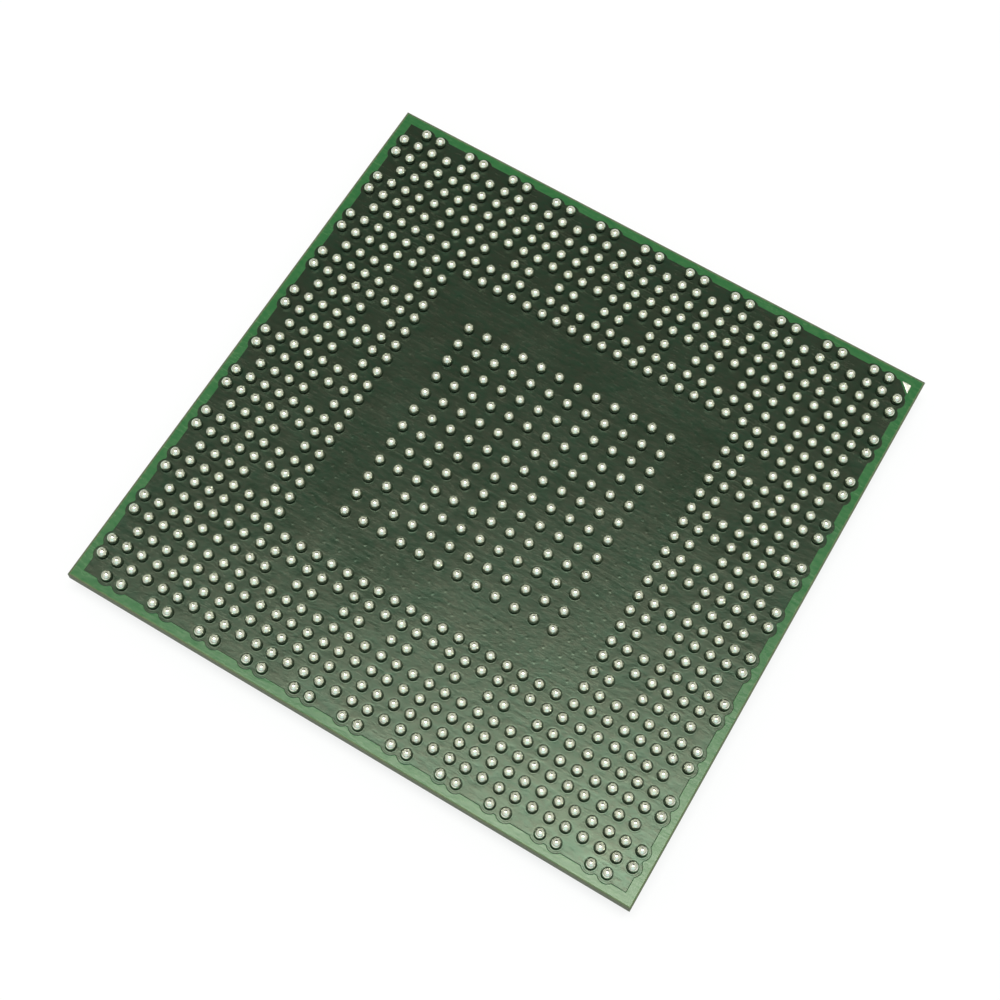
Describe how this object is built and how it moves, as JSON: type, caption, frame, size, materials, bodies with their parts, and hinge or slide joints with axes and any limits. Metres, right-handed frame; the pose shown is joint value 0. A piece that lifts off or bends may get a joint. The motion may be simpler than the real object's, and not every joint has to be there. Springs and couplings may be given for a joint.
{
  "type": "bga chip",
  "caption": "Flip-chip ball grid array package: square green substrate with solder balls on one side, and a bare die with small capacitors on the other.",
  "frame": {"origin": "centre of the back face of the die, which is the lowest face of the part as it lies ball side up", "axes": "+Z out of the ball side, square to the substrate; X and Y along the edges of the substrate, with the corner marker at +X +Y"},
  "size_m": [0.029, 0.029, 0.0018],
  "materials": {
    "laminate": "sawn edge of glass-fibre laminate",
    "copper": "etched copper foil",
    "marker": "solder-coated copper, satin",
    "ball_side_mask": "semi-gloss green solder mask",
    "die_side_mask": "semi-gloss green solder mask",
    "silicon": "polished back of the die",
    "solder": "satin solder",
    "solder_ball": "bright solder with a fine grain",
    "underfill": "cured epoxy",
    "ceramic": "matt ceramic",
    "tin": "satin tin plating"
  },
  "bodies": {
    "root": {"laminate": "laminate", "copper_plane": "copper", "ball_pads": "copper", "corner_marker": "marker", "ball_side_mask": "ball_side_mask", "balls_row_1": "solder_ball", "balls_row_2": "solder_ball", "balls_row_3": "solder_ball", "balls_row_4": "solder_ball", "balls_row_5": "solder_ball", "balls_row_6": "solder_ball", "balls_row_7": "solder_ball", "balls_row_8": "solder_ball", "balls_centre": "solder_ball", "die_side_mask": "die_side_mask", "silicon_die": "silicon", "die_bumps": "solder", "underfill": "underfill", "capacitor_pads": "copper", "capacitor_solder": "solder", "capacitor_bodies": "ceramic", "capacitor_end_caps": "tin"}
  },
  "joints": []
}
